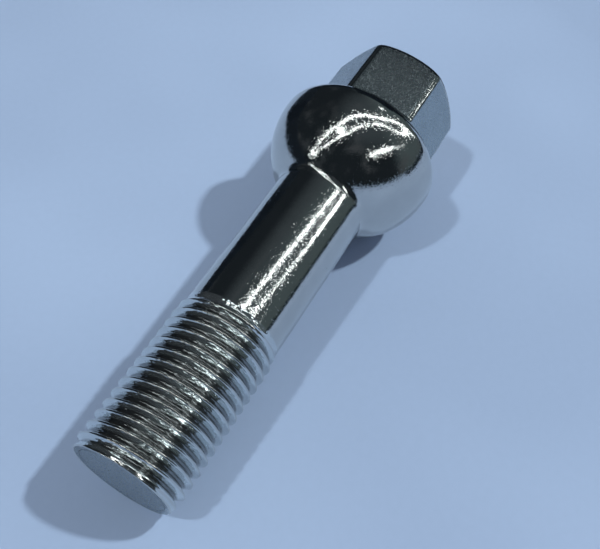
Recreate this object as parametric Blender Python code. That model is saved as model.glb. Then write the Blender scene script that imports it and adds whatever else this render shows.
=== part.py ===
"""Wheel lug bolt in one piece: rolled thread, plain shank, ball seat and hexagon head.

The bolt is drawn along its own X axis, from the flat end of the thread at zero to the
flat end of the head. Every cross-section is a ring of points at the same angles, so that
each ring joins the next one point for point. The finished bolt is then laid on the
ground, where its ball and its first full thread crest carry it.

Metres, +Z up.
"""

import math

import bmesh
import bpy

# Thread, rolled into a blank
THREAD_DIAMETER = 0.0139
THREAD_PITCH = 0.0015
THREAD_LENGTH = 0.0225
CREST_WIDTH = 0.0002
ROOT_WIDTH = 0.0003
FLANK_ANGLE = math.radians(60)
LEAD_IN = 0.0012
RUN_OUT = 0.0022
THREAD_PHASE = 0.001353

# End of the thread
TIP_CHAMFER = 0.00015

# Shank, from the end of the thread to where the ball begins
SHANK_REACH = 0.045
NECK_RADIUS = 0.0014

# Ball seat and the rounded collar behind it
BALL_DIAMETER = 0.024
COLLAR_DEPTH = 0.0052

# Hexagon head
ACROSS_FLATS = 0.017
CORNER_RADIUS = 0.0013
ROOT_FILLET = 0.0005
HEAD_HEIGHT = 0.0149
FACE_MARGIN = 0.0016
CROWN_RADIUS = 0.0026
HEAD_TURN = math.radians(10)

# Steel under its zinc
STEEL_COLOUR = (0.63, 0.64, 0.62, 1.0)
STEEL_ROUGHNESS = 0.16

# Fineness of the mesh
FLAT_STEPS = 6
CORNER_STEPS = 2
BALL_STEPS = 12
COLLAR_STEPS = 7
FILLET_STEPS = 3
CROWN_STEPS = 4
SHARP_ANGLE = math.radians(28)
SHORTEST_STEP = 0.00004

# Sizes that follow from the driving ones
THREAD_DEPTH = (THREAD_PITCH - CREST_WIDTH - ROOT_WIDTH) / (2 * math.tan(FLANK_ANGLE / 2))
CREST_RADIUS = THREAD_DIAMETER / 2
ROOT_RADIUS = CREST_RADIUS - THREAD_DEPTH
BLANK_RADIUS = (CREST_RADIUS + ROOT_RADIUS) / 2
BALL_RADIUS = BALL_DIAMETER / 2
BALL_CENTRE = SHANK_REACH + math.sqrt(BALL_RADIUS**2 - BLANK_RADIUS**2)
HEAD_END = BALL_CENTRE + HEAD_HEIGHT
APOTHEM = ACROSS_FLATS / 2
FACE_RADIUS = APOTHEM - FACE_MARGIN
SIDE_ANGLE = math.radians(60)


def smooth_step(value):
    """Ease from 0 to 1 with level ends."""
    value = min(max(value, 0.0), 1.0)
    return value * value * (3 - 2 * value)


def corner_tangent_angle():
    """Angle from the middle of a flat to where its rounded corner begins."""
    half_flat = (APOTHEM - CORNER_RADIUS) * math.tan(SIDE_ANGLE / 2)
    return math.atan2(half_flat, APOTHEM)


def ring_angles():
    """Angles about the axis that every ring shares: six flats and six rounded corners."""
    tangent = corner_tangent_angle()
    flat_step = 2 * tangent / FLAT_STEPS
    corner_step = (SIDE_ANGLE - 2 * tangent) / CORNER_STEPS
    angles = []
    for side in range(6):
        middle = math.pi / 2 + HEAD_TURN + SIDE_ANGLE * side
        angles += [middle - tangent + flat_step * step for step in range(FLAT_STEPS)]
        angles += [middle + tangent + corner_step * step for step in range(CORNER_STEPS)]
    return angles


def hexagon_radius(angle):
    """Distance from the axis to the rounded hexagon in one direction."""
    turn = (angle - math.pi / 2 - HEAD_TURN + SIDE_ANGLE / 2) % SIDE_ANGLE - SIDE_ANGLE / 2
    if abs(turn) <= corner_tangent_angle():
        return APOTHEM / math.cos(turn)
    arc_centre = (APOTHEM - CORNER_RADIUS) / math.cos(SIDE_ANGLE / 2)
    off_corner = SIDE_ANGLE / 2 - abs(turn)
    half_chord = math.sqrt(CORNER_RADIUS**2 - (arc_centre * math.sin(off_corner)) ** 2)
    return arc_centre * math.cos(off_corner) + half_chord


def crest_place(angle, turn):
    """Middle of a crest along the axis, at one angle and in one turn of the helix."""
    return THREAD_PHASE + THREAD_PITCH * (turn + angle / (2 * math.pi))


def thread_radius(place, level):
    """Radius of a crest or root line, which grows out of the blank and back into it."""
    rise = smooth_step((place - TIP_CHAMFER) / LEAD_IN)
    fall = smooth_step((THREAD_LENGTH - place) / RUN_OUT)
    return BLANK_RADIUS + rise * fall * (level - BLANK_RADIUS)


def thread_lines():
    """The four lines that wind round in each turn: offset along the turn, and radius."""
    flank = THREAD_DEPTH * math.tan(FLANK_ANGLE / 2)
    return [
        (-CREST_WIDTH / 2, CREST_RADIUS),
        (CREST_WIDTH / 2, CREST_RADIUS),
        (CREST_WIDTH / 2 + flank, ROOT_RADIUS),
        (CREST_WIDTH / 2 + flank + ROOT_WIDTH, ROOT_RADIUS),
    ]


def neck_profile():
    """Fillet from the shank to the ball: an arc that touches both."""
    reach = BALL_RADIUS + NECK_RADIUS
    centre_radius = BLANK_RADIUS + NECK_RADIUS
    centre_place = BALL_CENTRE - math.sqrt(reach**2 - centre_radius**2)
    last = math.atan2(centre_radius, BALL_CENTRE - centre_place)
    points = []
    for step in range(FILLET_STEPS + 1):
        angle = math.pi / 2 - (math.pi / 2 - last) * step / FILLET_STEPS
        place = centre_place + NECK_RADIUS * math.cos(angle)
        points.append((place, centre_radius - NECK_RADIUS * math.sin(angle)))
    return points


def ball_profile():
    """Seat of the ball, from the neck's fillet to the widest ring."""
    start_place, start_radius = neck_profile()[-1]
    start = math.atan2(start_radius, BALL_CENTRE - start_place)
    points = []
    for step in range(1, BALL_STEPS + 1):
        angle = start + (math.pi / 2 - start) * step / BALL_STEPS
        place = BALL_CENTRE - BALL_RADIUS * math.cos(angle)
        points.append((place, BALL_RADIUS * math.sin(angle)))
    return points


def collar_place(radius):
    """Where the collar's elliptical back has this radius."""
    return BALL_CENTRE + COLLAR_DEPTH * math.sqrt(1 - (radius / BALL_RADIUS) ** 2)


def crown_place(radius):
    """Where the head's domed end has this radius."""
    return HEAD_END - max(radius - FACE_RADIUS, 0.0) ** 2 / (2 * CROWN_RADIUS)


def root_fillet(wall):
    """Radius of the fillet at the hexagon's root, within half the ledge that the collar leaves."""
    return min(ROOT_FILLET, (BALL_RADIUS - wall) / 2)


def collar_rings(angles):
    """Back of the collar, closing in from the widest ring towards the hexagon's root."""
    rings = []
    for step in range(1, COLLAR_STEPS + 1):
        ring = []
        for angle in angles:
            wall = hexagon_radius(angle)
            last = math.acos((wall + root_fillet(wall)) / BALL_RADIUS)
            turn = last * step / COLLAR_STEPS
            radius = BALL_RADIUS * math.cos(turn)
            ring.append((collar_place(radius), radius))
        rings.append(ring)
    return rings


def root_rings(angles):
    """Small fillet between the collar's back and the hexagon."""
    rings = []
    for step in range(1, FILLET_STEPS + 1):
        share = step / FILLET_STEPS
        ring = []
        for angle in angles:
            wall = hexagon_radius(angle)
            fillet = root_fillet(wall)
            low = (collar_place(wall + fillet), wall + fillet)
            corner = (collar_place(wall), wall)
            high = (corner[0] + fillet, wall)
            weights = ((1 - share) ** 2, 2 * share * (1 - share), share**2)
            ring.append(tuple(
                weights[0] * low[axis] + weights[1] * corner[axis] + weights[2] * high[axis]
                for axis in range(2)
            ))
        rings.append(ring)
    return rings


def crown_rings(angles):
    """Flats up to the dome that trims them, then the dome in to the flat face."""
    rings = []
    for step in range(CROWN_STEPS + 1):
        share = step / CROWN_STEPS
        ring = []
        for angle in angles:
            wall = hexagon_radius(angle)
            radius = wall + (FACE_RADIUS - wall) * share
            ring.append((crown_place(radius), radius))
        rings.append(ring)
    return rings


def add_ring(mesh, angles, ring):
    """Add one ring of points, each given as its place along the axis and its radius."""
    return [
        mesh.verts.new((place, radius * math.cos(angle), radius * math.sin(angle)))
        for angle, (place, radius) in zip(angles, ring)
    ]


def join_rings(mesh, first, second):
    """Skin the band between two rings."""
    for index in range(len(first)):
        following = (index + 1) % len(first)
        mesh.faces.new((first[index], first[following], second[following], second[index]))


def add_thread(mesh, angles, tip_ring, shank_ring):
    """Skin the thread: its lines wind from the tip's ring into the shank's ring."""
    lines = thread_lines()
    count = len(angles)
    turns_before = 2
    turns = math.ceil(THREAD_LENGTH / THREAD_PITCH) + 2 * turns_before
    points = {}

    def point(row, column):
        row += len(lines) * (column // count)
        column %= count
        turn, line = divmod(row, len(lines))
        offset, level = lines[line]
        place = crest_place(angles[column], turn - turns_before) + offset
        if place < TIP_CHAMFER + SHORTEST_STEP:
            return tip_ring[column]
        if place > THREAD_LENGTH - SHORTEST_STEP:
            return shank_ring[column]
        if (row, column) not in points:
            radius = thread_radius(place, level)
            angle = angles[column]
            position = (place, radius * math.cos(angle), radius * math.sin(angle))
            points[row, column] = mesh.verts.new(position)
        return points[row, column]

    for row in range(len(lines) * turns):
        for column in range(count):
            corners = (
                point(row, column),
                point(row, column + 1),
                point(row + 1, column + 1),
                point(row + 1, column),
            )
            distinct = list(dict.fromkeys(corners))
            if len(distinct) > 2:
                mesh.faces.new(distinct)


def build_mesh():
    """Closed skin of the whole bolt, from the tip's face to the head's face."""
    angles = ring_angles()
    mesh = bmesh.new()

    tip_face = add_ring(mesh, angles, [(0.0, BLANK_RADIUS - TIP_CHAMFER)] * len(angles))
    tip_ring = add_ring(mesh, angles, [(TIP_CHAMFER, BLANK_RADIUS)] * len(angles))
    shank_ring = add_ring(mesh, angles, [(THREAD_LENGTH, BLANK_RADIUS)] * len(angles))
    mesh.faces.new(tip_face)
    join_rings(mesh, tip_face, tip_ring)
    add_thread(mesh, angles, tip_ring, shank_ring)

    turned = [[point] * len(angles) for point in neck_profile() + ball_profile()]
    formed = collar_rings(angles) + root_rings(angles) + crown_rings(angles)
    previous = shank_ring
    for ring in turned + formed:
        current = add_ring(mesh, angles, ring)
        join_rings(mesh, previous, current)
        previous = current
    mesh.faces.new(previous)

    bmesh.ops.recalc_face_normals(mesh, faces=mesh.faces)
    return mesh


def steel():
    """Bright zinc-plated steel."""
    material = bpy.data.materials.new("zinc_plated_steel")
    material.use_nodes = True
    shader = material.node_tree.nodes["Principled BSDF"]
    shader.inputs["Base Color"].default_value = STEEL_COLOUR
    shader.inputs["Metallic"].default_value = 1.0
    shader.inputs["Roughness"].default_value = STEEL_ROUGHNESS
    return material


def resting_slope():
    """Least slope of the axis at which the ball and one thread crest touch the ground."""
    slopes = []
    for turn in range(math.ceil(THREAD_LENGTH / THREAD_PITCH)):
        place = crest_place(-math.pi / 2, turn)
        if place > TIP_CHAMFER:
            radius = thread_radius(place, CREST_RADIUS)
            along = BALL_CENTRE - place
            span = math.hypot(along, radius)
            slopes.append(math.asin(BALL_RADIUS / span) - math.atan2(radius, along))
    return min(slopes)


def lay_on_ground(bolt):
    """Lean the bolt on its ball and thread, centred over the origin with its foot at zero."""
    bolt.rotation_euler = (0.0, -resting_slope(), 0.0)
    matrix = bolt.rotation_euler.to_matrix()
    corners = [matrix @ vertex.co for vertex in bolt.data.vertices]
    low = [min(corner[axis] for corner in corners) for axis in range(3)]
    high = [max(corner[axis] for corner in corners) for axis in range(3)]
    bolt.location = (-(low[0] + high[0]) / 2, -(low[1] + high[1]) / 2, -low[2])


def make_bolt():
    """The bolt as one object, smooth where it is turned and sharp at its edges."""
    data = bpy.data.meshes.new("lug_bolt")
    mesh = build_mesh()
    mesh.to_mesh(data)
    mesh.free()
    data.shade_smooth()
    data.set_sharp_from_angle(angle=SHARP_ANGLE)
    data.materials.append(steel())
    bolt = bpy.data.objects.new("lug_bolt", data)
    bpy.context.collection.objects.link(bolt)
    return bolt


def clear_scene():
    """Start from an empty scene."""
    for item in list(bpy.data.objects):
        bpy.data.objects.remove(item)


clear_scene()
lay_on_ground(make_bolt())
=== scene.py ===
# %% [markdown]
# # A wheel lug bolt in bright zinc
#
# A lug bolt holds a car's wheel to its hub. One blank of steel is cold-formed into a
# hexagon head, a round collar and a plain shank, the collar's front is shaped as a part of
# a ball that centres the wheel, and a thread is rolled into the far end of the shank. Then
# the whole bolt is plated with zinc, which leaves it bright, with a fine grain.
#
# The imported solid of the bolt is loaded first. It is right in size and place, but its skin
# is coarse, so the steps below skin the same form again with about fifteen times as many
# triangles, round its edges a little and dress it in three finishes of the same zinc. All
# sizes are in metres, as Blender counts, and only what is printed is in millimetres.

import math

import bpy
from mathutils import Euler, Matrix, Vector, noise


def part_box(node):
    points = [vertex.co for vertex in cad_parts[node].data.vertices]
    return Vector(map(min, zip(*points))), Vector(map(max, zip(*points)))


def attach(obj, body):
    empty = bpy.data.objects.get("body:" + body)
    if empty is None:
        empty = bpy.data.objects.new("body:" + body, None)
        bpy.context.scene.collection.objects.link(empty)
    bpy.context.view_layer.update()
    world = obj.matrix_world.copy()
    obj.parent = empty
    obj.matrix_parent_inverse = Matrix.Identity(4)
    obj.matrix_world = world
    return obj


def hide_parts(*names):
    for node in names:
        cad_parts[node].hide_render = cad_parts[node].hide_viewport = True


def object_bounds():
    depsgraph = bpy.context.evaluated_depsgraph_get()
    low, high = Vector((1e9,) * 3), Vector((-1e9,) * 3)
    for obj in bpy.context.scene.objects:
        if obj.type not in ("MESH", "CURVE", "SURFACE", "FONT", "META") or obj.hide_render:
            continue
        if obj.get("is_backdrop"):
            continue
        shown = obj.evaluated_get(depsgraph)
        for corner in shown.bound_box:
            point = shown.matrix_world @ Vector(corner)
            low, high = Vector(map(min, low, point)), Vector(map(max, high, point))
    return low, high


TO_MM = 1000.0

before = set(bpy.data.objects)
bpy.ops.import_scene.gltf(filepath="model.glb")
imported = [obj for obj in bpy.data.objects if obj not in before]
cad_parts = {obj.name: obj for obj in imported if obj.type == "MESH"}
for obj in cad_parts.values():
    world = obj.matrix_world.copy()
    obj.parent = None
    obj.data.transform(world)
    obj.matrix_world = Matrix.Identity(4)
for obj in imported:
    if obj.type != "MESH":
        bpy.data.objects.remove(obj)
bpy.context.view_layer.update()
solid_low, solid_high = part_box("lug_bolt")
solid_size = [round(TO_MM * size, 2) for size in solid_high - solid_low]
print("Solid of the bolt:", " x ".join(str(size) for size in solid_size), "mm")

# %% [markdown]
# ## Where the camera stands
#
# The camera looks down on the bolt from its threaded end, a hand's width above it, so that
# the thread comes out larger than the head. Blender's camera could be aimed with a Track To
# constraint, but a plain place and three turns say the same and nothing has to be solved.
# The picture is 600 by 549 pixels, and its middle lies a little off the lens's own axis,
# which the two small shifts stand for.

# %% Camera
PICTURE_WIDTH = 600
FOCAL_PIXELS = 816.9
SENSOR_WIDTH = 36.0
CAMERA_PLACE = (-0.060202, -0.032252, 0.093339)
CAMERA_TURN = (39.422, -3.608, -60.750)
CAMERA_SHIFT = (-0.0223, -0.0336)
NEAREST_SEEN = 0.001

camera_data = bpy.data.cameras.new("camera")
camera_data.sensor_width = SENSOR_WIDTH
camera_data.lens = FOCAL_PIXELS * SENSOR_WIDTH / PICTURE_WIDTH
camera_data.shift_x, camera_data.shift_y = CAMERA_SHIFT
camera_data.clip_start = NEAREST_SEEN
camera = bpy.data.objects.new("camera", camera_data)
camera.location = CAMERA_PLACE
camera.rotation_euler = [math.radians(turn) for turn in CAMERA_TURN]
bpy.context.scene.collection.objects.link(camera)
bpy.context.scene.camera = camera
bpy.context.scene.view_settings.view_transform = "Standard"
print("Lens:", round(camera_data.lens, 1), "mm, seen from a height of",
      round(TO_MM * CAMERA_PLACE[2]), "mm")

# %% [markdown]
# ## Helpers for shader nodes
#
# Every finish below is a small network of shader nodes. Placing a node takes several lines
# in Blender, so short helpers add a node, set its inputs and join what feeds them. An input
# is given as a number, a colour or the output of another node.

# %% Add a node and feed its inputs
def feed(tree, socket, value):
    """Join an output to a socket, or set the socket to a number or a colour."""
    if isinstance(value, bpy.types.NodeSocket):
        tree.links.new(value, socket)
    else:
        socket.default_value = value


def add_node(tree, kind, settings=None, **inputs):
    """Add a node; settings are its options, and inputs are named with _ for each blank."""
    node = tree.nodes.new(kind)
    for option, value in (settings or {}).items():
        setattr(node, option, value)
    for name, value in inputs.items():
        wanted = name.replace("_", " ")
        socket = next(item for item in node.inputs if item.name == wanted and item.enabled)
        feed(tree, socket, value)
    return node


def calculate(tree, operation, first, second=0.0, third=0.0):
    """One step of arithmetic on two or three values."""
    node = tree.nodes.new("ShaderNodeMath")
    node.operation = operation
    for socket, value in zip(node.inputs, (first, second, third)):
        feed(tree, socket, value)
    return node.outputs[0]


def blend_colours(tree, share, first, second):
    """Mix two colours by a share from 0 to 1."""
    node = tree.nodes.new("ShaderNodeMix")
    node.data_type = "RGBA"
    for name, value in (("Factor_Float", share), ("A_Color", first), ("B_Color", second)):
        socket = next(item for item in node.inputs if item.identifier == name)
        feed(tree, socket, value)
    return next(item for item in node.outputs if item.identifier == "Result_Color")


def new_material(name):
    """A material with an empty tree but for its output."""
    material = bpy.data.materials.new(name)
    material.use_nodes = True
    tree = material.node_tree
    tree.nodes.clear()
    return material, tree, tree.nodes.new("ShaderNodeOutputMaterial")


print("Helpers for shader nodes are ready")

# %% [markdown]
# ## The sheet of paper underneath
#
# The bolt lies on a plain, pale blue sheet of paper, and half of what its mirror-like skin
# shows is that sheet. One large square does for it. In soft patches its colour is painted
# darker, a painted shade for a sheet that isn't perfectly flat, and a faint fibre keeps it
# from looking like plastic.

# %% Paper
PAPER_SIDE = 8.0
PAPER_COLOUR = (0.40, 0.512, 0.70, 1.0)
# PAPER_SHADE is painted shade: the colour of the darker, cloudy patches of the sheet.
PAPER_SHADE = (0.33, 0.424, 0.59, 1.0)
PAPER_ROUGHNESS = 0.75
PAPER_SHINE = 0.2
SHADE_PATCH_SCALE = 14.0
SHADE_PATCH_SPAN = (0.35, 0.65)
FIBRE_SCALE = 900.0
FIBRE_SHARE = 0.25
FIBRE_STRENGTH = 0.3
FIBRE_DEPTH = 0.00002

paper_mesh = bpy.data.meshes.new("paper")
half_side = PAPER_SIDE / 2
paper_mesh.from_pydata(
    [(-half_side, -half_side, 0), (half_side, -half_side, 0),
     (half_side, half_side, 0), (-half_side, half_side, 0)],
    [],
    [(0, 1, 2, 3)],
)
paper = bpy.data.objects.new("paper", paper_mesh)
bpy.context.scene.collection.objects.link(paper)

paper_finish, tree, output = new_material("pale_blue_paper")
place = add_node(tree, "ShaderNodeTexCoord").outputs["Object"]
# Painted shade: soft, cloudy patches of the paper are coloured darker, towards PAPER_SHADE.
clouds = add_node(tree, "ShaderNodeTexNoise", Vector=place, Scale=SHADE_PATCH_SCALE, Detail=2.0)
painted_shade = add_node(tree, "ShaderNodeMapRange", Value=clouds.outputs["Fac"],
                 From_Min=SHADE_PATCH_SPAN[0], From_Max=SHADE_PATCH_SPAN[1]).outputs["Result"]
fibre = add_node(tree, "ShaderNodeTexNoise", Vector=place, Scale=FIBRE_SCALE, Detail=3.0)
fibre = fibre.outputs["Fac"]
painted_shade_part = calculate(tree, "MULTIPLY", painted_shade, 1.0 - FIBRE_SHARE)
shade = calculate(tree, "MULTIPLY_ADD", fibre, FIBRE_SHARE, painted_shade_part)
paper_bump = add_node(tree, "ShaderNodeBump", Strength=FIBRE_STRENGTH, Distance=FIBRE_DEPTH,
                      Height=fibre)
paper_skin = add_node(
    tree, "ShaderNodeBsdfPrincipled",
    Base_Color=blend_colours(tree, shade, PAPER_COLOUR, PAPER_SHADE),
    Roughness=PAPER_ROUGHNESS,
    Specular_IOR_Level=PAPER_SHINE,
    Normal=paper_bump.outputs["Normal"],
)
tree.links.new(paper_skin.outputs["BSDF"], output.inputs["Surface"])
paper_mesh.materials.append(paper_finish)
paper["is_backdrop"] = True
print("Paper:", PAPER_SIDE, "m square")

# %% [markdown]
# ## Ceiling lamps
#
# Bright metal has hardly a look of its own: it shows what stands around it. On this bolt
# that is a dim ceiling with two long rows of lamps, which run at an angle across the bolt
# and come out as two thin white lines on the shank and as two arcs on the ball. A short row
# makes the patch below the arcs. Of the single lamps, two make the bright spots in the arcs,
# two small ones the dot near the ball's rim and the lines on the hexagon's corner, and a low
# one the glints at the side of the thread. Each row is given by places on the ceiling, as a
# share of the ceiling's height, and one area lamp hangs between each place and the next.
# They only show in reflections: matt surfaces are lit by the two round lamps further down.

# %% Rows of lamps
CEILING = 1.2
ROWS = {
    "row_over_head": (
        [(-3.40, 2.84), (-1.85, 1.63), (-0.45, 0.54), (0.13, 0.08), (0.36, -0.31),
         (0.62, -0.60), (3.2, -3.45)],
        0.032, 8.0,
    ),
    "row_over_tip": (
        [(-3.40, 2.76), (-1.85, 1.42), (-0.85, 0.48), (-0.44, 0.14), (0.01, -0.15), (0.26, -0.435),
         (0.50, -0.93), (0.82, -1.25), (2.6, -2.6)],
        0.020, 8.5,
    ),
    "short_row": ([(-0.70, -0.84), (-0.38, -0.98), (0.10, -1.32)], 0.15, 4.2),
    "short_row_end": ([(0.10, -1.32), (0.75, -1.95)], 0.08, 1.2),
    "lamp_overhead": ([(-0.45, 0.23), (-0.31, 0.31)], 0.14, 8.0),
    "lamp_aside": ([(0.90, -1.20), (1.10, -1.44)], 0.24, 8.0),
    "lamp_low": ([(-2.25, 1.70), (-1.85, 1.70)], 0.35, 4.0),
    "small_lamp": ([(0.66, -0.22), (0.72, -0.22)], 0.06, 6.0),
    "small_lamp_aside": ([(1.06, -0.72), (1.14, -0.72)], 0.08, 6.0),
}
LAMP_COLOUR = (0.92, 0.98, 1.0)


def hang_lamp(name, start, end, width, brightness):
    """Area lamp between two places on the ceiling; widths and places are shares of its height."""
    begin = Vector((start[0], start[1], 1.0)) * CEILING
    finish = Vector((end[0], end[1], 1.0)) * CEILING
    along = finish - begin
    data = bpy.data.lights.new(name, "AREA")
    data.shape = "RECTANGLE"
    data.size = along.length
    data.size_y = width * CEILING
    data.energy = brightness * math.pi * data.size * data.size_y
    data.color = LAMP_COLOUR
    lamp = bpy.data.objects.new(name, data)
    lamp.location = (begin + finish) / 2
    lamp.rotation_euler = (0.0, 0.0, math.atan2(along.y, along.x))
    lamp.visible_diffuse = False
    bpy.context.scene.collection.objects.link(lamp)


for name, (places, width, brightness) in ROWS.items():
    for number, (start, end) in enumerate(zip(places, places[1:])):
        hang_lamp(f"{name}_{number}", start, end, width, brightness)
    print("Area lamps of", name + ":", len(places) - 1)

# %% [markdown]
# Two round lamps light the paper, one from either side of the bolt, and each gives it a
# clear shadow on the other side. They are hidden from reflections, so the metal doesn't
# show them. They are given by where they stand, as a heading and a height in degrees, and
# by their share of the light on the paper.

# %% Round lamps
LAMP_DISTANCE = 1.4
LAMP_WIDTH = 0.075
ROUND_LAMPS = {"right_lamp": (-53, 55.5, 0.45), "left_lamp": (152, 61.5, 0.26)}


def stand_lamp(name, heading, height, share):
    """Round area lamp that gives the paper its share of a plain level of light."""
    data = bpy.data.lights.new(name, "AREA")
    data.shape = "DISK"
    data.size = LAMP_WIDTH
    slant = math.sin(math.radians(height))
    data.energy = share * math.pi**2 * LAMP_DISTANCE**2 / slant
    data.color = LAMP_COLOUR
    lamp = bpy.data.objects.new(name, data)
    turn = Euler((math.radians(90 - height), 0.0, math.radians(heading + 90)))
    lamp.rotation_euler = turn
    lamp.location = turn.to_matrix() @ Vector((0.0, 0.0, LAMP_DISTANCE))
    lamp.visible_glossy = False
    bpy.context.scene.collection.objects.link(lamp)
    print(name, "stands at", [round(value, 2) for value in lamp.location])


for name, (heading, height, share) in ROUND_LAMPS.items():
    stand_lamp(name, heading, height, share)

# %% [markdown]
# ## What else the metal sees
#
# Around the paper lies a dark room with one dim, grey wall beyond the bolt's head and a
# faint glow of its lamps on the ceiling. Wall and glow are soft-edged patches of the world,
# laid round a direction: how far a ray points away from it decides how much of the patch it
# sees. A cloudy noise adds clutter. Close to the horizon the room is as pale as the paper,
# so that the metal shows no dark line where the sheet ends. Real walls could stand there
# instead, but a world takes no room in the scene and shades nothing.

# %% Room
ROOM_FILL = 0.31
FILL_COLOUR = (0.95, 1.0, 1.12, 1.0)
ROOM_DARK = (0.014, 0.019, 0.024, 1.0)
ROOM_WALL = (0.080, 0.108, 0.118, 1.0)
ROOM_GLOW = (0.055, 0.070, 0.080, 1.0)
ROOM_CLUTTER = (0.075, 0.085, 0.095, 1.0)
ROOM_PALE = (0.33, 0.45, 0.64, 1.0)
PALE_TOP = math.sin(math.radians(0.5))
DARK_FROM = math.sin(math.radians(3))
GLOW_PATCH = (-40, 72, 52, 40)
WALL_PATCH = (-35, 12, 62, 22)
CLOUD_SCALE = 3.2
CLOUD_SPAN = (0.50, 0.78)

world = bpy.data.worlds.new("room")
bpy.context.scene.world = world
world.use_nodes = True
tree = world.node_tree
tree.nodes.clear()
heading = add_node(tree, "ShaderNodeTexCoord").outputs["Generated"]


def soft_share(value, start, end):
    """Share that eases from 0 at the start to 1 at the end."""
    node = add_node(tree, "ShaderNodeMapRange", {"interpolation_type": "SMOOTHSTEP"},
                    Value=value, From_Min=start, From_Max=end)
    return node.outputs["Result"]


def patch_share(turn, height, reach, edge):
    """Share of a patch: its heading, height, reach and the width of its edge, in degrees."""
    turn, height, reach, edge = (math.radians(angle) for angle in (turn, height, reach, edge))
    towards = (math.cos(height) * math.cos(turn), math.cos(height) * math.sin(turn),
               math.sin(height))
    node = add_node(tree, "ShaderNodeVectorMath", {"operation": "DOT_PRODUCT"}, Vector=heading)
    node.inputs[1].default_value = towards
    return soft_share(node.outputs["Value"], math.cos(reach), math.cos(reach - edge))


room_colour = blend_colours(tree, patch_share(*GLOW_PATCH), ROOM_DARK, ROOM_GLOW)
room_colour = blend_colours(tree, patch_share(*WALL_PATCH), room_colour, ROOM_WALL)
clouds = add_node(tree, "ShaderNodeTexNoise", Vector=heading, Scale=CLOUD_SCALE, Detail=2.0)
clutter = soft_share(clouds.outputs["Fac"], *CLOUD_SPAN)
room_colour = blend_colours(tree, clutter, room_colour, ROOM_CLUTTER)
height = add_node(tree, "ShaderNodeSeparateXYZ", Vector=heading).outputs["Z"]
seen_colour = blend_colours(tree, soft_share(height, PALE_TOP, DARK_FROM), ROOM_PALE, room_colour)
print("The metal sees a wall and a glow at headings", WALL_PATCH[0], "and", GLOW_PATCH[0])

# %% [markdown]
# The camera and the metal have to see this room, but as a light it is far too dim and would
# leave the shadows black. A Light Path node tells the rays apart: one from the camera, from
# a reflection or through glass gets the room, and any other ray gets an even fill, which is
# a little blue.

# %% Room for what looks, fill for what is lit
seen = add_node(tree, "ShaderNodeBackground", Color=seen_colour, Strength=1.0)
fill = add_node(tree, "ShaderNodeBackground", Color=FILL_COLOUR, Strength=ROOM_FILL)
ray = add_node(tree, "ShaderNodeLightPath").outputs
camera_or_gloss = calculate(tree, "MAXIMUM", ray["Is Camera Ray"], ray["Is Glossy Ray"])
looked_at = calculate(tree, "MAXIMUM", camera_or_gloss, ray["Is Transmission Ray"])
either = add_node(tree, "ShaderNodeMixShader", Fac=looked_at)
tree.links.new(fill.outputs[0], either.inputs[1])
tree.links.new(seen.outputs[0], either.inputs[2])
tree.links.new(either.outputs[0], tree.nodes.new("ShaderNodeOutputWorld").inputs["Surface"])
print("The room fills the shadows at", ROOM_FILL)

# %% [markdown]
# ## Dark cards
#
# A photographer who wants a crisp dark edge along bright metal stands a dark card beside
# it, just out of the picture. A low, folded card does this on the bolt's far side, and a
# straight one, further off, on the near side. A small one behind the head darkens the flat
# in view towards its end and draws the thin black line along the dome's edge. Only the
# metal sees them: they are hidden from the camera and neither throw a shadow nor block the
# fill. Each card is given by its height and by the places of its feet.

# %% Cards
CARD_COLOUR = (0.02, 0.026, 0.032, 1.0)
CARDS = {
    "far_card": (
        0.04, [(-0.15, 0.115), (0.03, 0.11), (0.045, 0.066), (0.10, 0.105), (0.125, -0.03)],
    ),
    "near_card": (0.03, [(0.045, -0.36), (0.33, -0.13)]),
    "head_card": (0.047, [(0.052, -0.013), (0.052, 0.014)]),
}

card_finish, tree, output = new_material("dark_card")
card_skin = add_node(tree, "ShaderNodeBsdfDiffuse", Color=CARD_COLOUR)
tree.links.new(card_skin.outputs["BSDF"], output.inputs["Surface"])


def stand_card(name, height, feet):
    """Upright, folded card over places on the paper, seen by reflections alone."""
    mesh = bpy.data.meshes.new(name)
    count = len(feet)
    corners = [(*foot, 0.0) for foot in feet] + [(*foot, height) for foot in feet]
    panels = [(at, at + 1, at + 1 + count, at + count) for at in range(count - 1)]
    mesh.from_pydata(corners, [], panels)
    mesh.materials.append(card_finish)
    card = bpy.data.objects.new(name, mesh)
    card.visible_camera = False
    card.visible_diffuse = False
    card.visible_shadow = False
    bpy.context.scene.collection.objects.link(card)
    card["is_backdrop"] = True


for name, (height, feet) in CARDS.items():
    stand_card(name, height, feet)
print("Cards:", ", ".join(CARDS))

# %% [markdown]
# ## Sizes of the bolt
#
# The thread is a fine M14 one with a pitch of 1.5 mm, the ball of the seat has a radius of
# 12 mm and the hexagon takes a 17 mm socket. The shank is as thick as the middle of the
# thread, because rolling a thread presses roots into the blank and raises crests by as
# much. These are the sizes of the solid, so both skins lie in the same place.

# %% Sizes
THREAD_DIAMETER = 0.0139
THREAD_PITCH = 0.0015
THREAD_LENGTH = 0.0225
CREST_WIDTH = 0.0002
ROOT_WIDTH = 0.0003
HALF_FLANK = math.radians(30)
LEAD_IN = 0.0012
RUN_OUT = 0.0022
THREAD_PHASE = 0.001353
TIP_CHAMFER = 0.00015
SHANK_REACH = 0.045
NECK_RADIUS = 0.0014
BALL_RADIUS = 0.012
COLLAR_DEPTH = 0.0052
APOTHEM = 0.0085
CORNER_RADIUS = 0.0013
ROOT_FILLET = 0.0005
HEAD_HEIGHT = 0.0149
FACE_MARGIN = 0.0016
CROWN_RADIUS = 0.0026
HEAD_TURN = math.radians(10)

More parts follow.
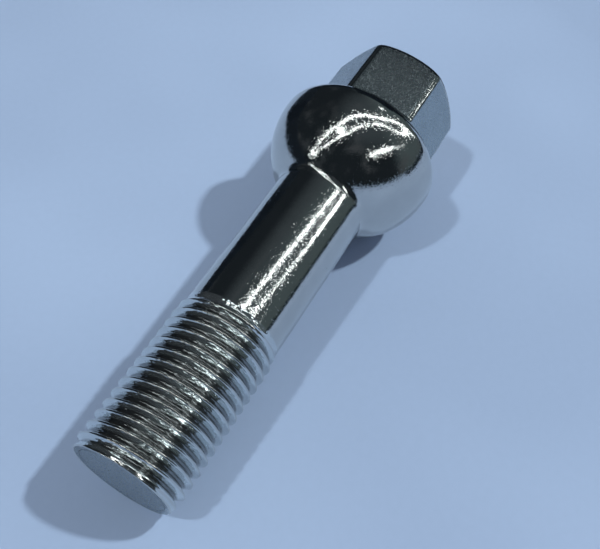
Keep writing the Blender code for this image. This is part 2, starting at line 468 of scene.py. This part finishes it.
THREAD_DEPTH = (THREAD_PITCH - CREST_WIDTH - ROOT_WIDTH) / (2 * math.tan(HALF_FLANK))
CREST_RADIUS = THREAD_DIAMETER / 2
ROOT_RADIUS = CREST_RADIUS - THREAD_DEPTH
BLANK_RADIUS = (CREST_RADIUS + ROOT_RADIUS) / 2
BALL_CENTRE = SHANK_REACH + math.sqrt(BALL_RADIUS**2 - BLANK_RADIUS**2)
HEAD_END = BALL_CENTRE + HEAD_HEIGHT
FACE_RADIUS = APOTHEM - FACE_MARGIN
SIDE_ANGLE = math.radians(60)
print("Blank:", round(2 * TO_MM * BLANK_RADIUS, 2), "mm thick; bolt:",
      round(TO_MM * HEAD_END, 2), "mm long")

# %% [markdown]
# ## Around the axis: a hexagon's angles
#
# The bolt is drawn along its own X axis, with the flat end of the thread at zero. Every
# cross-section is a ring of points at the same angles, so each ring joins the next one
# point for point, from the thread to the head. The angles are chosen for the hexagon: even
# steps over each flat, and finer ones round each rounded corner, where the light turns.

# %% Angles shared by every ring
FLAT_STEPS = 22
CORNER_STEPS = 10
DULL_STEPS = 2


def corner_tangent_angle():
    """Angle from the middle of a flat to where its rounded corner begins."""
    half_flat = (APOTHEM - CORNER_RADIUS) * math.tan(SIDE_ANGLE / 2)
    return math.atan2(half_flat, APOTHEM)


def hexagon_radius(angle):
    """Distance from the axis to the rounded hexagon in one direction."""
    turn = (angle - math.pi / 2 - HEAD_TURN + SIDE_ANGLE / 2) % SIDE_ANGLE - SIDE_ANGLE / 2
    if abs(turn) <= corner_tangent_angle():
        return APOTHEM / math.cos(turn)
    arc_centre = (APOTHEM - CORNER_RADIUS) / math.cos(SIDE_ANGLE / 2)
    off_corner = SIDE_ANGLE / 2 - abs(turn)
    half_chord = math.sqrt(CORNER_RADIUS**2 - (arc_centre * math.sin(off_corner)) ** 2)
    return arc_centre * math.cos(off_corner) + half_chord


tangent = corner_tangent_angle()
flat_step = 2 * tangent / FLAT_STEPS
corner_step = (SIDE_ANGLE - 2 * tangent) / CORNER_STEPS
ANGLES = []
ON_FLAT = []
for side in range(6):
    flat_middle = math.pi / 2 + HEAD_TURN + SIDE_ANGLE * side
    ANGLES += [flat_middle - tangent + flat_step * step for step in range(FLAT_STEPS)]
    ANGLES += [flat_middle + tangent + corner_step * step for step in range(CORNER_STEPS)]
    ON_FLAT += [True] * FLAT_STEPS
    ON_FLAT += [step < DULL_STEPS or step >= CORNER_STEPS - DULL_STEPS
                for step in range(CORNER_STEPS)]
COLUMNS = len(ANGLES)
WALLS = [hexagon_radius(angle) for angle in ANGLES]
print("Points in a ring:", COLUMNS)

# %% [markdown]
# ## Thread: one turn in profile
#
# A rolled thread has slanting flanks, 60 degrees between them, with a rounded crest and a
# rounded root. A Screw modifier could sweep this profile round the axis, but then the
# thread would end in two cut faces. So the profile is laid out here as a list of offsets
# and radii, and the skin winds it round by hand and lets it fade away at both ends.

# %% Rounded crest, flanks and rounded root
CREST_STEPS = 6
FLANK_STEPS = 2
ROOT_STEPS = 6

crest_round = CREST_WIDTH / 2 / math.tan(HALF_FLANK)
root_round = ROOT_WIDTH / 2 / math.tan(HALF_FLANK)
swing = math.pi / 2 - HALF_FLANK


def arc_points(centre, radius, outward, steps):
    """Round part of the profile, from one flank to the next: offset and level."""
    points = []
    for step in range(steps + 1):
        turn = swing * (2 * step / steps - 1)
        level = centre + outward * radius * math.cos(turn)
        points.append((radius * math.sin(turn), level))
    return points


crest = arc_points(CREST_RADIUS - crest_round, crest_round, 1, CREST_STEPS)
root = [
    (offset + THREAD_PITCH / 2, level)
    for offset, level in arc_points(ROOT_RADIUS + root_round, root_round, -1, ROOT_STEPS)
]


def between(first, last, steps):
    """Points on the straight flank between two others."""
    return [
        tuple(first[axis] + (last[axis] - first[axis]) * step / steps for axis in range(2))
        for step in range(1, steps)
    ]


next_crest = (crest[0][0] + THREAD_PITCH, crest[0][1])
THREAD_LINES = crest + between(crest[-1], root[0], FLANK_STEPS) + root
THREAD_LINES += between(root[-1], next_crest, FLANK_STEPS)
print("Lines in a turn of thread:", len(THREAD_LINES))

# %% [markdown]
# ## Thread: growing out of the blank
#
# At the tip the thread rises out of the blank within a pitch, and at the shank it runs out
# again within one and a half. A smooth step does both. Rolling never leaves a crest
# perfectly even, so a little noise lowers it here and there, by about a hundredth of a
# millimetre: that is what breaks up the thin highlight along each crest.

# %% Radius of the thread's lines
CREST_WEAR = 0.000012
WEAR_GRAIN = 900.0


def smooth_step(value):
    """Ease from 0 to 1 with level ends."""
    value = min(max(value, 0.0), 1.0)
    return value * value * (3 - 2 * value)


def crest_place(angle, turn):
    """Middle of a crest along the axis, at one angle and in one turn of the helix."""
    return THREAD_PHASE + THREAD_PITCH * (turn + angle / (2 * math.pi))


def thread_radius(place, level):
    """Radius of a line, which grows out of the blank and back into it."""
    rise = smooth_step((place - TIP_CHAMFER) / LEAD_IN)
    fall = smooth_step((THREAD_LENGTH - place) / RUN_OUT)
    return BLANK_RADIUS + rise * fall * (level - BLANK_RADIUS)


def crest_loss(place, angle, level):
    """How far the rolling left this point of a crest short of its full height."""
    share = smooth_step((level - BLANK_RADIUS) / (CREST_RADIUS - BLANK_RADIUS))
    where = Vector((place, BLANK_RADIUS * math.cos(angle), BLANK_RADIUS * math.sin(angle)))
    rough = max(noise.noise(where * WEAR_GRAIN), 0.0)
    return CREST_WEAR * share * rough


print("Thread: root", round(2 * TO_MM * ROOT_RADIUS, 2), "mm, crest",
      round(2 * TO_MM * CREST_RADIUS, 2), "mm")

# %% [markdown]
# ## Tip: a very shallow cup with a rounded rim
#
# Rolling pushes a little steel out over the end of the blank, so the end face is a hair
# lower in the middle than at its rim. The rim itself is rounded, and bright, where the
# sheared end face inside it is dull.

# %% Rings of the tip
CUP_DEPTH = 0.00005
RIM_WIDTH = 0.0007
RIM_STEPS = 6
EDGE_STEPS = 5


def tip_profile():
    """From the flat middle of the end face, over its rim, to the blank."""
    outer = BLANK_RADIUS - TIP_CHAMFER
    points = []
    for step in range(RIM_STEPS + 1):
        share = step / RIM_STEPS
        points.append((CUP_DEPTH * (1 - smooth_step(share)), outer - RIM_WIDTH * (1 - share)))
    for step in range(1, EDGE_STEPS + 1):
        turn = math.pi / 2 * step / EDGE_STEPS
        place = TIP_CHAMFER * (1 - math.cos(turn))
        points.append((place, outer + TIP_CHAMFER * math.sin(turn)))
    return points


print("Tip: a cup", round(TO_MM * CUP_DEPTH, 2), "mm deep")

# %% [markdown]
# ## Shank, neck and ball
#
# From the end of the thread the shank is a plain cylinder, up to a small fillet that
# touches both the shank and the ball. Ball and fillet are arcs, so their points come from
# the circle itself, and the rings stand closer where the surface turns faster.

# %% Rings of the shank, the neck and the ball
SHANK_STEPS = 10
NECK_STEPS = 8
BALL_STEPS = 34


def shank_profile():
    """Plain cylinder after the thread."""
    neck_place = neck_profile()[0][0]
    return [
        (THREAD_LENGTH + (neck_place - THREAD_LENGTH) * step / SHANK_STEPS, BLANK_RADIUS)
        for step in range(1, SHANK_STEPS)
    ]


def neck_profile():
    """Fillet from the shank to the ball: an arc that touches both."""
    reach = BALL_RADIUS + NECK_RADIUS
    centre_radius = BLANK_RADIUS + NECK_RADIUS
    centre_place = BALL_CENTRE - math.sqrt(reach**2 - centre_radius**2)
    last = math.atan2(centre_radius, BALL_CENTRE - centre_place)
    points = []
    for step in range(NECK_STEPS + 1):
        angle = math.pi / 2 - (math.pi / 2 - last) * step / NECK_STEPS
        place = centre_place + NECK_RADIUS * math.cos(angle)
        points.append((place, centre_radius - NECK_RADIUS * math.sin(angle)))
    return points


def ball_profile():
    """Seat of the ball, from the neck's fillet to the widest ring."""
    start_place, start_radius = neck_profile()[-1]
    start = math.atan2(start_radius, BALL_CENTRE - start_place)
    points = []
    for step in range(1, BALL_STEPS + 1):
        angle = start + (math.pi / 2 - start) * step / BALL_STEPS
        points.append((BALL_CENTRE - BALL_RADIUS * math.cos(angle), BALL_RADIUS * math.sin(angle)))
    return points


print("Ball: centre", round(TO_MM * BALL_CENTRE, 2), "mm from the tip")

# %% [markdown]
# ## Collar's back and the hexagon
#
# Behind its widest ring the collar closes in along an ellipse until it meets the hexagon,
# which stands on it with a small fillet. The hexagon isn't round, so these rings aren't
# either: each point of a ring gets its own place, by how far the hexagon reaches there.

# %% Rings of the collar and of the fillet
COLLAR_STEPS = 18
ROOT_FILLET_STEPS = 6


def collar_place(radius):
    """Where the collar's elliptical back has this radius."""
    return BALL_CENTRE + COLLAR_DEPTH * math.sqrt(1 - (radius / BALL_RADIUS) ** 2)


def root_fillet(wall):
    """Radius of the fillet at the hexagon's root."""
    return min(ROOT_FILLET, (BALL_RADIUS - wall) / 2)


def bend(start, corner, end, share):
    """Point on a smooth bend from start to end that leans towards the corner."""
    weights = ((1 - share) ** 2, 2 * share * (1 - share), share**2)
    return tuple(
        weights[0] * start[axis] + weights[1] * corner[axis] + weights[2] * end[axis]
        for axis in range(2)
    )


def collar_rings():
    """Back of the collar, closing in from the widest ring towards the hexagon's root."""
    rings = []
    for step in range(1, COLLAR_STEPS + 1):
        ring = []
        for wall in WALLS:
            last = math.acos((wall + root_fillet(wall)) / BALL_RADIUS)
            radius = BALL_RADIUS * math.cos(last * step / COLLAR_STEPS)
            ring.append((collar_place(radius), radius))
        rings.append(ring)
    return rings


def root_rings():
    """Small fillet between the collar's back and the hexagon."""
    rings = []
    for step in range(1, ROOT_FILLET_STEPS + 1):
        ring = []
        for wall in WALLS:
            fillet = root_fillet(wall)
            start = (collar_place(wall + fillet), wall + fillet)
            corner = (collar_place(wall), wall)
            end = (corner[0] + fillet, wall)
            ring.append(bend(start, corner, end, step / ROOT_FILLET_STEPS))
        rings.append(ring)
    return rings


print("Hexagon:", round(2 * TO_MM * APOTHEM, 1), "mm across its flats,",
      round(2 * TO_MM * max(WALLS), 1), "mm across its corners")

# %% [markdown]
# ## Domed end of the head
#
# A shallow dome trims the hexagon, so each flat ends in a curved edge and its corners are
# the first to fall away. The edge between flat and dome is softened by the forming tool
# and the plating, and that small rounding is what catches the light.

# %% Rings of the head's end
WALL_STEPS = 4
SOFT_EDGE = 0.0005
SOFT_STEPS = 5
DOME_STEPS = 8


def crown_place(radius):
    """Where the head's domed end has this radius."""
    return HEAD_END - max(radius - FACE_RADIUS, 0.0) ** 2 / (2 * CROWN_RADIUS)


def soft_edge_ends(wall):
    """Where the rounding of the edge leaves the flat and where it meets the dome."""
    corner = (crown_place(wall), wall)
    inner = wall - SOFT_EDGE
    return (corner[0] - SOFT_EDGE, wall), corner, (crown_place(inner), inner)


def head_rings():
    """Up the flats, over the softened edge and in across the dome to the flat end face."""
    rings = []
    for step in range(1, WALL_STEPS):
        ring = []
        for wall in WALLS:
            low = collar_place(wall) + root_fillet(wall)
            high = soft_edge_ends(wall)[0][0]
            ring.append((low + (high - low) * step / WALL_STEPS, wall))
        rings.append(ring)
    for step in range(SOFT_STEPS + 1):
        rings.append([bend(*soft_edge_ends(wall), step / SOFT_STEPS) for wall in WALLS])
    for step in range(1, DOME_STEPS + 1):
        ring = []
        for wall in WALLS:
            inner = wall - SOFT_EDGE
            radius = inner + (FACE_RADIUS - inner) * step / DOME_STEPS
            ring.append((crown_place(radius), radius))
        rings.append(ring)
    return rings


print("Head: end face", round(2 * TO_MM * FACE_RADIUS, 1), "mm wide")

# %% [markdown]
# ## Skin over all rings
#
# The mesh is one closed skin, made of points and of faces between them, with the number of
# a finish for each face. Plain rings are joined point for point, and the finish of a band
# is asked for column by column, because a hexagon has flats and corners in one band.

# %% Points, rings and bands
THREAD_FINISH, PLAIN_FINISH, FLAT_FINISH = 0, 1, 2

points = []
faces = []
finishes = []


def add_point(place, radius, angle):
    """Add one point of the skin and return its number."""
    points.append((place, radius * math.cos(angle), radius * math.sin(angle)))
    return len(points) - 1


def add_ring(ring):
    """Add a ring, given as the place along the axis and the radius of each point."""
    return [add_point(place, radius, angle) for angle, (place, radius) in zip(ANGLES, ring)]


def add_face(corners, finish):
    """Add a face between points, all of them different."""
    faces.append(corners)
    finishes.append(finish)


def join_rings(first, second, finish_of):
    """Skin the band between two rings."""
    for column in range(COLUMNS):
        after = (column + 1) % COLUMNS
        corners = (first[column], first[after], second[after], second[column])
        add_face(corners, finish_of(column))


def plain(column):
    """Finish of the plain and rounded parts."""
    return PLAIN_FINISH


def dull(column):
    """Finish of the end face at the tip."""
    return FLAT_FINISH


def flat_or_corner(column):
    """Finish of the hexagon: duller on its flats than round its corners."""
    return FLAT_FINISH if ON_FLAT[column] else PLAIN_FINISH


print("Columns of the hexagon that are flat:", sum(ON_FLAT), "of", COLUMNS)

# %% [markdown]
# ## Winding the thread
#
# The thread's lines don't lie in rings, because they wind: after a full turn, each line
# continues as the one a pitch further on. Where a line would pass the tip's or the shank's
# ring, its points fall together with that ring, and the skin closes there with triangles.
# So the winding may start and end some turns outside the thread, where no face is left of
# it. The rolls polish the crests, which get the bright finish.

# %% Thread's lines
SHORTEST_STEP = 0.00002
TURNS_OUTSIDE = 2
THREAD_TURNS = math.ceil(THREAD_LENGTH / THREAD_PITCH)


def add_thread(tip_ring, shank_ring):
    """Wind the thread's lines from the tip's ring to the shank's ring."""
    count = len(THREAD_LINES)
    known = {}

    def point(row, column):
        row += count * (column // COLUMNS)
        column %= COLUMNS
        turn, line = divmod(row, count)
        offset, level = THREAD_LINES[line]
        place = crest_place(ANGLES[column], turn - TURNS_OUTSIDE) + offset
        if place < TIP_CHAMFER + SHORTEST_STEP:
            return tip_ring[column]
        if place > THREAD_LENGTH - SHORTEST_STEP:
            return shank_ring[column]
        if (row, column) not in known:
            angle = ANGLES[column]
            radius = thread_radius(place, level - crest_loss(place, angle, level))
            known[row, column] = add_point(place, radius, angle)
        return known[row, column]

    for row in range(count * (THREAD_TURNS + 2 * TURNS_OUTSIDE)):
        for column in range(COLUMNS):
            corners = (
                point(row, column),
                point(row, column + 1),
                point(row + 1, column + 1),
                point(row + 1, column),
            )
            distinct = tuple(dict.fromkeys(corners))
            if len(distinct) > 2:
                on_crest = 1 <= row % count < CREST_STEPS - 1
                add_face(distinct, PLAIN_FINISH if on_crest else THREAD_FINISH)


print("The thread winds", THREAD_TURNS, "times round the axis")

# %% [markdown]
# ## From the tip to the head
#
# Now the bolt is skinned in one go along its axis: end face and rim, thread, shank, neck,
# ball, collar, hexagon and dome. Each band starts from the ring at which the last one ended,
# so no seam is left open, and one face closes each end.

# %% Skin
tip_rings = [add_ring([point] * COLUMNS) for point in tip_profile()]
add_face(tuple(tip_rings[0]), FLAT_FINISH)
for number, (first, second) in enumerate(zip(tip_rings, tip_rings[1:])):
    join_rings(first, second, dull if number < RIM_STEPS else plain)
shank_ring = add_ring([(THREAD_LENGTH, BLANK_RADIUS)] * COLUMNS)
add_thread(tip_rings[-1], shank_ring)

previous = shank_ring
for point in shank_profile() + neck_profile() + ball_profile():
    current = add_ring([point] * COLUMNS)
    join_rings(previous, current, plain)
    previous = current
for ring in collar_rings() + root_rings():
    current = add_ring(ring)
    join_rings(previous, current, plain)
    previous = current
for number, ring in enumerate(head_rings()):
    current = add_ring(ring)
    join_rings(previous, current, flat_or_corner if number < WALL_STEPS else plain)
    previous = current
add_face(tuple(reversed(previous)), PLAIN_FINISH)
print("Skin:", len(points), "points and", len(faces), "faces")

# %% [markdown]
# ## Laying the bolt down
#
# A bolt with a fat collar lies aslant: it rests on its ball and on one crest of its
# thread. The least slope at which both touch the ground is found from the circles that
# they are, seen from the side. Then the bolt is moved so that it stands over the origin.

# %% Lay it on the paper
def resting_slope():
    """Least slope of the axis at which the ball and one thread crest touch the ground."""
    slopes = []
    for turn in range(THREAD_TURNS):
        place = crest_place(-math.pi / 2, turn)
        if place > TIP_CHAMFER:
            radius = thread_radius(place, CREST_RADIUS)
            along = BALL_CENTRE - place
            span = math.hypot(along, radius)
            slopes.append(math.asin(BALL_RADIUS / span) - math.atan2(radius, along))
    return min(slopes)


bolt_mesh = bpy.data.meshes.new("dressed_bolt")
bolt_mesh.from_pydata(points, [], faces)
bolt_mesh.polygons.foreach_set("material_index", finishes)
bolt_mesh.shade_smooth()
bolt_mesh.validate()
slope = resting_slope()
bolt_mesh.transform(Matrix.Rotation(-slope, 4, "Y"))
low = [min(vertex.co[axis] for vertex in bolt_mesh.vertices) for axis in range(3)]
high = [max(vertex.co[axis] for vertex in bolt_mesh.vertices) for axis in range(3)]
middle = Vector(((low[0] + high[0]) / 2, (low[1] + high[1]) / 2, low[2]))
bolt_mesh.transform(Matrix.Translation(-middle))
bolt = bpy.data.objects.new("dressed_bolt", bolt_mesh)
bpy.context.scene.collection.objects.link(bolt)
print("The bolt lies at a slope of", round(math.degrees(slope), 2), "degrees")

# %% [markdown]
# Wide, flat faces next to narrow, rounded ones get smeared shading, because Blender blends
# the directions of neighbouring faces. A Weighted Normal modifier lets the large faces win,
# so the flats stay flat right up to their rounded edges.

# %% Even shading
LARGE_FACE_WEIGHT = 60

even = bolt.modifiers.new("even_shading", "WEIGHTED_NORMAL")
even.mode = "FACE_AREA"
even.weight = LARGE_FACE_WEIGHT
print("Shading weighted by face area")

# %% [markdown]
# ## Grain of the zinc
#
# Zinc is laid on in a bath, crystal by crystal, and from close by it shows a fine grain that
# breaks up the edges of every highlight into bright and dark dots. A picture could hold
# such a grain, but nodes keep it sharp at any distance. All three finishes share it, so it
# is a node group, with the size of the grain, its tilt and the amount of pits as inputs.
# Inside the group all sizes are in millimetres.

# %% Node group: sockets
FLOAT, VECTOR = "NodeSocketFloat", "NodeSocketVector"


def new_group(name, inputs, outputs):
    """Shader node group with named inputs and outputs."""
    group = bpy.data.node_groups.new(name, "ShaderNodeTree")
    for title, kind, value in inputs:
        socket = group.interface.new_socket(name=title, in_out="INPUT", socket_type=kind)
        if value is not None:
            socket.default_value = value
    for title, kind in outputs:
        group.interface.new_socket(name=title, in_out="OUTPUT", socket_type=kind)
    entry = group.nodes.new("NodeGroupInput")
    leave = group.nodes.new("NodeGroupOutput")
    return group, entry.outputs, leave.inputs


zinc_grain, given, gives = new_group(
    "zinc_grain",
    [("Place", VECTOR, None), ("Grain size", FLOAT, 0.25), ("Tilt", FLOAT, 0.1),
     ("Pits", FLOAT, 0.3)],
    [("Normal", VECTOR), ("Pit", FLOAT), ("Patch", FLOAT), ("Draw", FLOAT)],
)
millimetres = add_node(zinc_grain, "ShaderNodeVectorMath", {"operation": "SCALE"},
                       Vector=given["Place"], Scale=TO_MM).outputs[0]
print("Node group:", zinc_grain.name)

# %% [markdown]
# Each crystal leans its own way, most of them very little and a few of them much. A Voronoi
# texture stands for the crystals: its colour differs from cell to cell and gives the lean,
# and one more draw for each cell says how far it leans and is handed out for its roughness.

# %% Crystals that lean
NEAR_REACH = 0.6
FAR_REACH = 2.6
FAR_POWER = 4.0
MIDDLE_GREY = (0.5, 0.5, 0.5)

fineness = calculate(zinc_grain, "DIVIDE", 1.0, given["Grain size"])
crystals = add_node(zinc_grain, "ShaderNodeTexVoronoi", Vector=millimetres, Scale=fineness)
lean = add_node(zinc_grain, "ShaderNodeVectorMath", {"operation": "SUBTRACT"},
                Vector=crystals.outputs["Color"])
lean.inputs[1].default_value = MIDDLE_GREY
draw = add_node(zinc_grain, "ShaderNodeTexWhiteNoise", Vector=crystals.outputs["Color"])
feed(zinc_grain, gives["Draw"], draw.outputs["Value"])
far_lean = calculate(zinc_grain, "POWER", draw.outputs["Value"], FAR_POWER)
reach = calculate(zinc_grain, "MULTIPLY_ADD", far_lean, FAR_REACH, NEAR_REACH)
tilted = add_node(zinc_grain, "ShaderNodeVectorMath", {"operation": "SCALE"},
                  Vector=lean.outputs[0],
                  Scale=calculate(zinc_grain, "MULTIPLY", reach, given["Tilt"]))
upright = add_node(zinc_grain, "ShaderNodeNewGeometry").outputs["Normal"]
summed = add_node(zinc_grain, "ShaderNodeVectorMath", {"operation": "ADD"}, Vector=upright)
feed(zinc_grain, summed.inputs[1], tilted.outputs[0])
facet = add_node(zinc_grain, "ShaderNodeVectorMath", {"operation": "NORMALIZE"},
                 Vector=summed.outputs[0])
feed(zinc_grain, gives["Normal"], facet.outputs[0])
print("The crystals lean by", NEAR_REACH, "to", NEAR_REACH + FAR_REACH, "times the tilt")

# %% [markdown]
# Here and there the bath leaves a pit. A coarser Voronoi texture offers places for them, and
# its colour chooses which of these places have one. Last, a soft noise gives patches, over
# which the colour of the metal wanders.

# %% Pits and patches
PIT_PLACES = 1.7
PIT_SPAN = (0.05, 0.16)
PATCH_SCALE = 0.35

cells = add_node(zinc_grain, "ShaderNodeTexVoronoi", Vector=millimetres, Scale=PIT_PLACES)
lottery = add_node(zinc_grain, "ShaderNodeSeparateColor", Color=cells.outputs["Color"])
chosen = calculate(zinc_grain, "LESS_THAN", lottery.outputs[0], given["Pits"])
near = add_node(zinc_grain, "ShaderNodeMapRange", Value=cells.outputs["Distance"],
                From_Min=PIT_SPAN[0], From_Max=PIT_SPAN[1], To_Min=1.0, To_Max=0.0)
feed(zinc_grain, gives["Pit"], calculate(zinc_grain, "MULTIPLY", chosen, near.outputs["Result"]))
patch = add_node(zinc_grain, "ShaderNodeTexNoise", Vector=millimetres, Scale=PATCH_SCALE,
                 Detail=3.0)
feed(zinc_grain, gives["Patch"], patch.outputs["Fac"])
print("Pits are up to", round(2 * PIT_SPAN[1] / PIT_PLACES, 2), "mm wide")

# %% [markdown]
# ## Places round the axis
#
# Rolling the thread drags the skin of the steel round the bolt, and the zinc on it follows.
# Scratches could be drawn for that, but the same grain does it when its places are counted
# along the axis, round it and away from it, with the way round the axis shortened: each
# crystal then comes out longer round the axis. The slope of the lying bolt is turned back
# first, so that the places follow its real axis.

# %% Places for the rolled grain
ROLLING_STRETCH = 0.22


def round_the_axis(tree, place):
    """Places along the axis, around it and away from it, with the way around it shortened."""
    from_tip = add_node(tree, "ShaderNodeVectorMath", {"operation": "SUBTRACT"}, Vector=place)
    from_tip.inputs[1].default_value = -middle
    turned = add_node(tree, "ShaderNodeVectorRotate", {"rotation_type": "Y_AXIS"},
                      Vector=from_tip.outputs[0], Angle=slope).outputs[0]
    part = add_node(tree, "ShaderNodeSeparateXYZ", Vector=turned).outputs
    turn = calculate(tree, "ARCTAN2", part["Y"], part["Z"])
    around = calculate(tree, "MULTIPLY", turn, BLANK_RADIUS * ROLLING_STRETCH)
    squares = calculate(tree, "MULTIPLY_ADD", part["Y"], part["Y"],
                        calculate(tree, "MULTIPLY", part["Z"], part["Z"]))
    away = calculate(tree, "SQRT", squares)
    return add_node(tree, "ShaderNodeCombineXYZ", X=part["X"], Y=around, Z=away).outputs[0]


print("Crystals of the thread are", round(1 / ROLLING_STRETCH, 1), "times as long as wide")

# %% [markdown]
# ## Three finishes of one plating
#
# The shank, the ball and the crests of the thread are bright. In the rolled thread the
# metal is a little less pure, and down in the roots its colour is painted darker: painted
# shade, standing in for the dark of the deep, narrow valleys. The hexagon's flats and the
# end face at the tip are dull and finely mottled. Each finish varies its colour from patch
# to patch and its roughness from crystal to crystal, because a single grey would look like paint.

# %% Zinc between two colours
ROUGH_POWER = 1.5
# Painted shade: the roots of the thread are coloured darker, for the shade down in their deep,
# narrow valleys.
ROOT_SHADE_COLOUR = (0.20, 0.21, 0.21, 1.0)
ROOT_SHADE_SPAN = (0.00008, 0.00028)
PIT_COLOUR = (0.12, 0.12, 0.11, 1.0)
PIT_DEPTH = 0.00001


def paint_root_shade(tree, place, colour):
    """Blend painted shade into a colour, down in the roots of the thread."""
    away = add_node(tree, "ShaderNodeSeparateXYZ", Vector=place).outputs["Z"]
    low = add_node(tree, "ShaderNodeMapRange", Value=away,
                   From_Min=ROOT_RADIUS + ROOT_SHADE_SPAN[0], From_Max=ROOT_RADIUS + ROOT_SHADE_SPAN[1],
                   To_Min=1.0, To_Max=0.0)
    return blend_colours(tree, low.outputs["Result"], colour, ROOT_SHADE_COLOUR)


def zinc_finish(name, colours, grain_size, tilt, pits, smoothest, roughest, metal=1.0,
                rolled=False):
    """Zinc between two colours, with its own grain and its own span of roughness."""
    material, tree, output = new_material(name)
    place = add_node(tree, "ShaderNodeTexCoord").outputs["Object"]
    if rolled:
        place = round_the_axis(tree, place)
    grain = tree.nodes.new("ShaderNodeGroup")
    grain.node_tree = zinc_grain
    inputs = {"Place": place, "Grain size": grain_size, "Tilt": tilt, "Pits": pits}
    for title, value in inputs.items():
        feed(tree, grain.inputs[title], value)
    colour = blend_colours(tree, grain.outputs["Patch"], *colours)
    if rolled:
        # Painted shade in the roots of the thread.
        colour = paint_root_shade(tree, place, colour)
    colour = blend_colours(tree, grain.outputs["Pit"], colour, PIT_COLOUR)
    unlike = calculate(tree, "POWER", grain.outputs["Draw"], ROUGH_POWER)
    roughness = add_node(tree, "ShaderNodeMapRange", Value=unlike,
                         To_Min=smoothest, To_Max=roughest)
    bump = add_node(tree, "ShaderNodeBump", Strength=1.0, Distance=PIT_DEPTH,
                    Height=calculate(tree, "SUBTRACT", 1.0, grain.outputs["Pit"]),
                    Normal=grain.outputs["Normal"])
    skin = add_node(
        tree, "ShaderNodeBsdfPrincipled",
        Base_Color=colour,
        Roughness=roughness.outputs["Result"],
        Metallic=metal,
        Normal=bump.outputs["Normal"],
    )
    tree.links.new(skin.outputs["BSDF"], output.inputs["Surface"])
    print("Finish:", name, "with roughness", smoothest, "to", roughest)
    return material


print("Ready to mix finishes of zinc")

# %% [markdown]
# Every finish now takes its own values: two colours, the size of a crystal and how far it
# leans, the share of places that have a pit, and how smooth and how rough the crystals are.
# They go on in the order of the numbers that the faces have.

# %% Finishes
BRIGHT_ZINC = ((0.50, 0.505, 0.485, 1.0), (0.61, 0.612, 0.59, 1.0))
ROLLED_ZINC = ((0.56, 0.60, 0.60, 1.0), (0.70, 0.73, 0.73, 1.0))
FORGED_ZINC = ((0.33, 0.375, 0.39, 1.0), (0.42, 0.47, 0.485, 1.0))

FINISHES = (
    zinc_finish("rolled_zinc", ROLLED_ZINC, grain_size=0.08, tilt=0.11, pits=0.04,
                smoothest=0.03, roughest=0.08, metal=0.965, rolled=True),
    zinc_finish("bright_zinc", BRIGHT_ZINC, grain_size=0.07, tilt=0.06, pits=0.02,
                smoothest=0.03, roughest=0.08),
    zinc_finish("forged_zinc", FORGED_ZINC, grain_size=0.13, tilt=0.10, pits=0.05,
                smoothest=0.24, roughest=0.36),
)
for finish in FINISHES:
    bolt_mesh.materials.append(finish)
print("Finishes on the bolt:", len(bolt_mesh.materials))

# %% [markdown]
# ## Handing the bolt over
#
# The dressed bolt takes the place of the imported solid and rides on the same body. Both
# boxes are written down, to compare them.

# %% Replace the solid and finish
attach(bolt, "root")
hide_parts("lug_bolt")

dressed_box = [list(corner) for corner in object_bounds()]
dressed_size = [round(TO_MM * (top - bottom), 2) for bottom, top in zip(*dressed_box)]
print("Dressed bolt:", " x ".join(str(size) for size in dressed_size), "mm")
